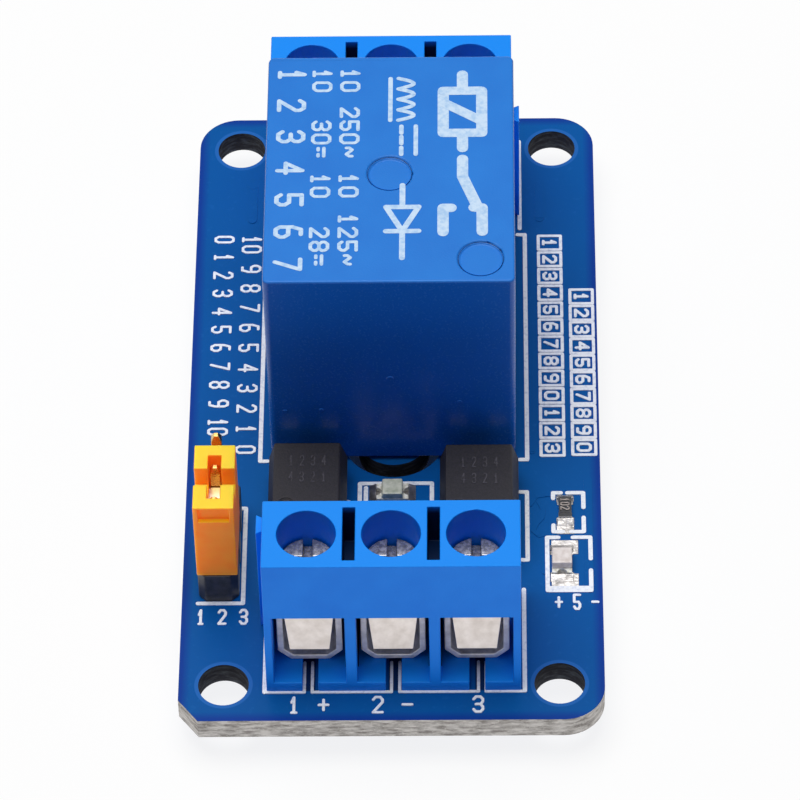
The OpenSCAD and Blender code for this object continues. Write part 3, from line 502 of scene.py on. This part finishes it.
# ---- Solder and surface parts ----
# Chip resistors, two light-emitting diodes, a transistor and a diode, soldered to their pads. Underneath,
# the pins of the big parts stand in cones of solder. Moulded edges are rounded, and solder is bright and a
# little wavy.
def eased(name, width, finish):
    """A copy of a CAD piece with its edges rounded, which stands for it."""
    shape = bmesh.new()
    shape.from_mesh(nodes[name].data)
    bmesh.ops.remove_doubles(shape, verts=shape.verts, dist=0.0005 * mm)
    bmesh.ops.dissolve_limit(shape, angle_limit=math.radians(0.5), verts=shape.verts, edges=shape.edges,
                             use_dissolve_boundaries=False)
    mesh = bpy.data.meshes.new(f"{name}_dressed")
    shape.to_mesh(mesh)
    shape.free()
    if "custom_normal" in mesh.attributes:
        mesh.attributes.remove(mesh.attributes["custom_normal"])
    mesh.polygons.foreach_set("use_smooth", [True] * len(mesh.polygons))
    mesh.polygons.foreach_set("material_index", [0] * len(mesh.polygons))
    mesh.materials.append(finish.owner)
    piece = bpy.data.objects.new(f"{name}_dressed", mesh)
    bpy.context.scene.collection.objects.link(piece)
    rounding = piece.modifiers.new("rounding", "BEVEL")
    rounding.width = width
    rounding.segments = 2
    rounding.limit_method = "ANGLE"
    rounding.angle_limit = math.radians(30)
    rounding.use_clamp_overlap = False
    rounding.harden_normals = True
    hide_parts(name)
    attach(piece, nodes[name]["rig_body"])


tin = Finish("tin_solder", Metallic=1.0)
ripple = tin.noise(0.5 * mm, 3)
tin.set(tin.shader, {"Roughness": ripple * 0.25 + 0.26, "Normal": tin.bump(ripple, 0.12 * mm, 0.7),
                     "Base Color": tin.mix(ripple.step(0.3, 0.7), srgb("86827f"), srgb("cfcbc8"))})
eased("chip_solder", 0.05 * mm, tin)
eased("pin_solder", 0.06 * mm, tin)

# A chip resistor is white ceramic with a black coat on top, which carries its value in three figures
ceramic = Finish("resistor_ceramic", Roughness=0.45)
coat = ceramic.facing("Z").step(0.4, 0.6)
ceramic.set(ceramic.shader, {"Base Color": ceramic.mix(coat, srgb("d8d6d0"), srgb("15161c"))})
eased("chip_resistors", 0.03 * mm, ceramic)
chip_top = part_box("chip_resistors")[1].z
chip_ink = bmesh.new()
number(chip_ink, "102", (10.49, -8.12), height=0.5, pitch=0.34, turn=down, width=0.07,
       low=chip_top, high=chip_top + ink_rise)
chip_mark = Finish("resistor_mark", Roughness=0.6, Specular_IOR_Level=0.2)
chip_faint = chip_mark.noise(0.2 * mm).step(0.3, 0.6)
chip_mark.set(chip_mark.shader, {"Base Color": chip_mark.mix(chip_faint, srgb("8f837d"), srgb("c4b9b2"))})
finished("resistor_number", chip_ink, chip_mark)

# The pads of the power light and of the resistor beside it are wetted with solder well past the parts.
# Each has its left, right, near and far side in millimetres
pads = [(9.84, 11.53, -12.2, -11.1), (9.84, 11.53, -14.75, -13.75),
        (10.2, 11.3, -8.0, -7.55), (10.2, 11.3, -10.6, -9.3)]
pad_middle_z, pad_thick, pad_ease = board_top + 0.02 * mm, 0.07 * mm, 0.02 * mm
pad_shape = bmesh.new()
for left, right, near, far in pads:
    place = Matrix.Translation(((left + right) / 2 * mm, (near + far) / 2 * mm, pad_middle_z))
    size = Matrix.Diagonal(((right - left) * mm, (far - near) * mm, pad_thick, 1))
    bmesh.ops.create_cube(pad_shape, size=1, matrix=place @ size)
bmesh.ops.bevel(pad_shape, geom=pad_shape.edges, offset=pad_ease, segments=1, affect="EDGES", profile=0.5,
                material=-1)
finished("surface_pads", pad_shape, tin)

# Each light is a lens of clear epoxy on a pale carrier
carrier = Finish("led_carrier", Roughness=0.5)
grit = carrier.noise(0.2 * mm)
carrier.set(carrier.shader, {"Base Color": carrier.mix(grit.step(0.4, 0.6), srgb("d2cfbf"), srgb("efeee6"))})
for led, dull, clear in (("power_led", "cfc2ba", "ebe2dc"), ("status_led", "aeb49e", "dcdccb")):
    epoxy = Finish(f"{led}_epoxy", Roughness=0.22, Coat_Weight=0.3)
    haze = epoxy.noise(0.4 * mm, 2)
    epoxy.set(epoxy.shader, {"Base Color": epoxy.mix(haze.step(0.3, 0.7), srgb(dull), srgb(clear))})
    eased(f"{led}_base", 0.03 * mm, carrier)
    eased(f"{led}_lens", 0.08 * mm, epoxy)

# The transistor and the diode are moulded in filled black epoxy on tinned legs
moulding = Finish("moulding_black", Specular_IOR_Level=0.25)
pits = moulding.noise(0.09 * mm, 3)
moulding.set(moulding.shader, {
    "Base Color": moulding.mix(pits.step(0.35, 0.7), srgb("17161c"), srgb("27252b")),
    "Roughness": pits * 0.2 + 0.45, "Normal": moulding.bump(pits, 0.02 * mm, 0.8)})
tinned_wire = Finish("tinned_wire", Metallic=1.0)
drawn = tinned_wire.noise(0.3 * mm, 3)
tinned_wire.set(tinned_wire.shader, {"Roughness": drawn * 0.3 + 0.18,
                                     "Base Color": tinned_wire.mix(drawn, srgb("a9a6a1"), srgb("e6e4e0"))})
for chip in ("transistor", "diode"):
    eased(f"{chip}_body", 0.06 * mm, moulding)
    eased(f"{chip}_leads", 0.02 * mm, tinned_wire)

# ---- Optocouplers ----
# Black transfer-moulded bodies with drafted sides and a pin mark, on four tinned legs each that go through
# the board. Two rows of plain numbers are faintly marked on top, barely paler than the moulding.
opto_ink = Finish("opto_mark", Roughness=0.6, Specular_IOR_Level=0.2)
faint = opto_ink.noise(0.3 * mm).step(0.3, 0.6)
opto_ink.set(opto_ink.shader, {"Base Color": opto_ink.mix(faint, srgb("2c2b31"), srgb("48464d"))})
mark_left, mark_far, row_gap = 1.1, 1.0, 1.3
mark_height, mark_pitch, mark_line = 0.75, 0.34, 0.07
for opto in ("opto_left", "opto_right"):
    eased(f"{opto}_body", 0.12 * mm, moulding)
    eased(f"{opto}_leads", 0.04 * mm, tinned_wire)
    low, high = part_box(f"{opto}_body")
    mark = bmesh.new()
    mark_x, mark_y = (low.x + high.x) / 2 / mm - mark_left, (low.y + high.y) / 2 / mm
    for row, text in enumerate(("1 2 3 4", "4 3 2 1")):
        number(mark, text, (mark_x, mark_y + mark_far - row_gap * row), mark_height, mark_pitch, 0,
               mark_line, high.z - ink_rise, high.z + ink_rise)
    finished(f"{opto}_numbers", mark, opto_ink)

# ---- Jumper header and jumper ----
# Three gilt pins pressed into a black moulding and soldered to the board, and an orange cap with a folded
# clip inside that bridges two of them. The cap's top is painted a lighter yellow, as painted light.
black = Finish("header_black", Roughness=0.4, Specular_IOR_Level=0.4)
scuff = black.noise(0.4 * mm, 3)
black.set(black.shader, {"Base Color": black.mix(scuff.step(0.3, 0.7), srgb("25252b"), srgb("3c3b42")),
                         "Normal": black.bump(scuff, 0.02 * mm, 0.6)})
eased("header_base", 0.08 * mm, black)
gilt = Finish("gilt", Metallic=1.0)
rub = gilt.noise(0.3 * mm)
gilt.set(gilt.shader, {"Roughness": rub * 0.2 + 0.18,
                       "Base Color": gilt.mix(rub, srgb("c49a4c"), srgb("f0cf86"))})
eased("header_pins", 0.04 * mm, gilt)
# The cap glows a little, as painted light that brightens it in its shade
orange = Finish("jumper_orange", Specular_IOR_Level=0.3, Emission_Strength=0.16,
                Emission_Color=srgb("ff7a1c"), Subsurface_Weight=0.8,
                Subsurface_Radius=(1.0, 0.4, 0.1), Subsurface_Scale=2.2 * mm)
flow = orange.noise(1.2 * mm, 2)
fine = orange.noise(0.12 * mm, 2)
# Painted light: faces that look up are painted a lighter yellow than the sides
painted_top_light = orange.facing("Z").step(0.5, 0.9)
body_orange = orange.mix(flow.step(0.3, 0.7), srgb("ff8a20"), srgb("ff962c"))
orange.set(orange.shader, {"Base Color": orange.mix(painted_top_light * 0.9, body_orange, srgb("ffd823")),
                           "Roughness": fine * 0.15 + 0.35, "Normal": orange.bump(fine, 0.012 * mm, 0.8)})
eased("jumper_cap", 0.06 * mm, orange)
clip = Finish("clip_metal", Metallic=1.0, Base_Color=srgb("d8d2c4"))
clip_rub = clip.noise(0.25 * mm)
clip.set(clip.shader, {"Roughness": clip_rub * 0.25 + 0.2})
eased("jumper_clip", 0.02 * mm, clip)

# ---- Relay ----
# A blue moulded case fits over a base that carries the coil, its yoke and armature, and the contact springs.
# The case is polished at the sides and matt on top, where it has two dimples and pale printed signs, and its
# top is painted a lighter blue than its sides as painted light. Its near side keeps small round marks from
# the mould.
relay_blue = Finish("relay_blue", Specular_IOR_Level=0.25)
swirl = relay_blue.noise(3 * mm, 3)
peel = relay_blue.noise(0.12 * mm, 2)
# Painted light: the top takes a lighter blue and the sides a darker one, as if lit from above
matt_and_lit_top = relay_blue.facing("Z").step(0.5, 0.9)
lit_top_blue = relay_blue.mix(swirl.step(0.3, 0.7), srgb("1070cc"), srgb("1677d2"))
relay_blue.set(relay_blue.shader, {
    "Base Color": relay_blue.mix(matt_and_lit_top, srgb("1256ae"), lit_top_blue),
    "Roughness": peel * 0.12 + matt_and_lit_top * 0.14 + 0.2, "Normal": relay_blue.bump(peel * matt_and_lit_top, 0.012 * mm, 0.7)})
eased("relay_case", 0.16 * mm, relay_blue)
base_blue = Finish("relay_base_blue", Roughness=0.5)
base_grain = base_blue.noise(0.2 * mm)
base_blue.set(base_blue.shader, {"Base Color": base_blue.mix(base_grain, srgb("153f80"), srgb("1b4c96"))})
eased("relay_base", 0.08 * mm, base_blue)

# The gate's mark is the biggest, and three fainter ones lie lower. Each has a place and a share of the size
case_low, case_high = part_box("relay_case")
gate_shape = bmesh.new()
gate_r, gate_rise, gate_taper = 0.28 * mm, 0.04 * mm, 0.8
for gate_x, gate_z, share in ((-0.08, 11.46, 1), (-6.7, 8.4, 0.7), (-4.4, 8.5, 0.7), (4.2, 9.2, 0.7)):
    place = Matrix.Translation((gate_x * mm, case_low.y, gate_z * mm)) @ Matrix.Rotation(math.pi / 2, 4, "X")
    bmesh.ops.create_cone(gate_shape, cap_ends=True, segments=24, radius1=gate_r * share,
                          radius2=gate_r * share * gate_taper, depth=2 * gate_rise * share, matrix=place)
finished("relay_gate_marks", gate_shape, relay_blue)
relay_ink_shape = bmesh.new()
relay_ink_low, relay_ink_high = case_high.z - ink_rise, case_high.z + ink_rise / 2
signs_x, signs_y, rows_y = 3.1, 12.85, 13.35
bold, middling, thin = 0.7, 0.36, 0.28


def on_relay(points):
    """Points measured along the signs, from their far end, and across them, as places on the case's top."""
    return [((signs_x + across) * mm, (signs_y - along) * mm) for along, across in points]


# The common signs for a relay's coil and for its changeover contact
coil_sign = [
    [(0, 1.4), (1.4, 1.4)],
    [(1.4, 0.2), (5.0, 0.2), (5.0, 2.6), (1.4, 2.6), (1.4, 0.2)],
    [(2.4, 0.2), (4.0, 2.6)],
    [(5.0, 1.4), (6.3, 1.4)],
]
contact_sign = [
    [(7.2, 1.4), (8.7, 1.4), (11.2, 2.3)],
    [(11.3, 2.6), (13.3, 2.6)],
    [(11.3, 0.2), (13.3, 0.2)],
    [(11.3, 2.6), (11.3, 2.1)],
    [(11.3, 0.2), (11.3, 0.7)],
]
for run in coil_sign + contact_sign:
    line(relay_ink_shape, on_relay(run), bold * mm, relay_ink_low, relay_ink_high)
# Four half rounds stand for a winding, with a bar for its core, then the sign for a steady current
round_steps, round_step, round_height, winding_from, winding_across = 9, 0.1, 0.95, 0.3, -2.6
winding = []
for t in range(4 * round_steps + 1):
    rise = round_height * abs(math.sin(t * math.pi / round_steps))
    winding.append((winding_from + t * round_step, winding_across + rise))
core_sign = [(0.3, -3.1), (3.9, -3.1)]
steady_sign = [
    [(4.4, -1.5), (6.8, -1.5)],
    [(4.4, -2.4), (5.0, -2.4)],
    [(5.3, -2.4), (5.9, -2.4)],
    [(6.2, -2.4), (6.8, -2.4)],
]
for run in [winding, core_sign] + steady_sign:
    line(relay_ink_shape, on_relay(run), thin * mm, relay_ink_low, relay_ink_high)
diode_sign = [
    [(9.4, -2.3), (11.2, -2.3)],
    [(11.2, -3.3), (11.2, -1.3), (13.2, -2.3), (11.2, -3.3)],
    [(13.2, -3.3), (13.2, -1.3)],
    [(13.2, -2.3), (15.4, -2.3)],
]
for run in diode_sign:
    line(relay_ink_shape, on_relay(run), middling * mm, relay_ink_low, relay_ink_high)
# Rows of plain values and numbers: where each lies across, its height, its pitch and its stroke's width
relay_rows = [("10 250~ 10 125~", -3.05, 1.05, 1.12, 0.22), ("10  30= 10  28=", -4.8, 1.05, 1.12, 0.22),
              ("1 2 3 4 5 6 7", -6.95, 1.55, 1.33, 0.28)]
for text, across, height, pitch, width in relay_rows:
    number(relay_ink_shape, text, (across, rows_y), height, pitch, down, width, relay_ink_low, relay_ink_high)
relay_ink = Finish("relay_ink", Roughness=0.5, Specular_IOR_Level=0.2)
patchy = relay_ink.noise(0.3 * mm, 3).step(0.3, 0.6)
relay_ink.set(relay_ink.shader, {"Base Color": relay_ink.mix(patchy, srgb("a4c6ea"), srgb("c8def4"))})
finished("relay_print", relay_ink_shape, relay_ink)

# Inside: an iron core, yoke and armature, copper wire on a pale bobbin, and silver contacts on bronze springs
iron = Finish("soft_iron", Metallic=1.0, Base_Color=srgb("a8a6a2"))
iron.set(iron.shader, {"Roughness": iron.noise(0.3 * mm, 3) * 0.3 + 0.3})
bronze = Finish("contact_bronze", Metallic=1.0, Base_Color=srgb("c99a5e"))
bronze.set(bronze.shader, {"Roughness": bronze.noise(0.4 * mm) * 0.2 + 0.22})
silver = Finish("contact_silver", Metallic=1.0, Base_Color=srgb("dcdbd6"))
silver.set(silver.shader, {"Roughness": silver.noise(0.15 * mm) * 0.3 + 0.25})
bobbin = Finish("bobbin_plastic", Roughness=0.5)
bobbin.set(bobbin.shader, {"Base Color": bobbin.mix(bobbin.noise(0.5 * mm), srgb("cac6b6"), srgb("e4e1d6"))})
copper = Finish("copper_wire", Metallic=0.8, Roughness=0.35)
wire_pitch = 0.08 * mm
turns = copper.maths("PINGPONG", copper.where("Z") / wire_pitch, 0.5)
copper.set(copper.shader, {"Base Color": copper.mix(turns, srgb("7d3c1a"), srgb("cf7d43")),
                           "Normal": copper.bump(turns, 0.03 * mm)})
inner_pieces = [
    ("relay_core", iron), ("relay_yoke", iron), ("relay_armature", iron),
    ("relay_bobbin", bobbin), ("relay_winding", copper),
    ("relay_contact_spring", bronze), ("relay_moving_contact", silver),
    ("relay_com_terminal", bronze), ("relay_no_terminal", bronze), ("relay_nc_terminal", bronze),
    ("relay_coil_pins", tinned_wire),
]
for name, finish in inner_pieces:
    clothe(name, finish)

# ---- Screw terminal blocks ----
# Each of the two blocks is a bright blue moulding of three ways, with a relief slot between the ways. A way
# holds a tinned brass frame, a spring steel guard that rises in it to grip the wire, and a plated screw.
terminal_blue = Finish("terminal_blue", Specular_IOR_Level=0.15)
sheen = terminal_blue.noise(2.5 * mm, 3)
orange_peel = terminal_blue.noise(0.12 * mm, 2)
# The relief slots are deep, and are painted in shade from just below the top down to where no light is left
way_pitch, slot_half_w, slot_half_l, slot_soft = 5.08 * mm, 0.4 * mm, 2.1 * mm, 0.02 * mm
slot_fade_from, slot_fade_to, slot_shade_share = 0.05 * mm, 0.6 * mm, 0.92
across, along, height = [terminal_blue.where(axis) for axis in "XYZ"]
in_slot = 0.0
for side in ("input", "output"):
    ways = [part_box(f"{side}_screw_{way}") for way in (1, 2, 3)]
    middle_x, middle_y = [sum(low[a] + high[a] for low, high in ways) / (2 * len(ways)) for a in (0, 1)]
    by_x = (abs(across - middle_x) - way_pitch / 2).within(slot_half_w, slot_soft)
    by_y = (along - middle_y).within(slot_half_l, slot_soft)
    in_slot = by_x * by_y + in_slot
block_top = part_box("input_housing")[1].z
slot_painted_shade = in_slot * (1 - height.step(block_top - slot_fade_to, block_top - slot_fade_from))
shell_blue = terminal_blue.mix(sheen.step(0.3, 0.7), srgb("0c7cee"), srgb("1484f4"))
# Painted light: the top faces are painted a lighter blue than the sides
shell_blue = terminal_blue.mix(terminal_blue.facing("Z").step(0.5, 0.9), shell_blue, srgb("108af3"))
terminal_blue.set(terminal_blue.shader, {
    "Base Color": terminal_blue.mix(slot_painted_shade * slot_shade_share, shell_blue, srgb("0a1034")),
    "Roughness": orange_peel * 0.12 + 0.36, "Normal": terminal_blue.bump(orange_peel, 0.012 * mm, 0.7)})
brass = Finish("tinned_brass", Metallic=0.4)
brass_rub = brass.noise(0.5 * mm, 3)
brass.set(brass.shader, {"Roughness": brass_rub * 0.25 + 0.38,
                         "Base Color": brass.mix(brass_rub.step(0.3, 0.7), srgb("d2cecf"), srgb("f4f0f0"))})
spring = Finish("spring_steel", Metallic=1.0)
spring_rub = spring.noise(0.7 * mm, 3, (1, 3, 1))
spring.set(spring.shader, {
    "Roughness": spring_rub * 0.2 + 0.26,
    "Base Color": spring.mix(spring_rub.step(0.3, 0.7), srgb("cfc6c0"), srgb("ece4df"))})
zinc = Finish("screw_steel", Metallic=0.7)
zinc_rub = zinc.noise(0.25 * mm, 3)
zinc.set(zinc.shader, {"Roughness": zinc_rub * 0.3 + 0.12, "Normal": zinc.bump(zinc_rub, 0.02 * mm, 0.4),
                       "Base Color": zinc.mix(zinc_rub.step(0.3, 0.7), srgb("8e8c8b"), srgb("c9c6c4"))})
for side in ("input", "output"):
    eased(f"{side}_housing", 0.07 * mm, terminal_blue)
    for way in (1, 2, 3):
        eased(f"{side}_frame_{way}", 0.07 * mm, brass)
        eased(f"{side}_guard_{way}", 0.03 * mm, spring)
        eased(f"{side}_screw_{way}", 0.07 * mm, zinc)

# ---- Sizes of the part ----
# The dressed part's box is found, as its low and its high corner in metres; the imported part's box was
# found in the same way at the start.
low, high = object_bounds()
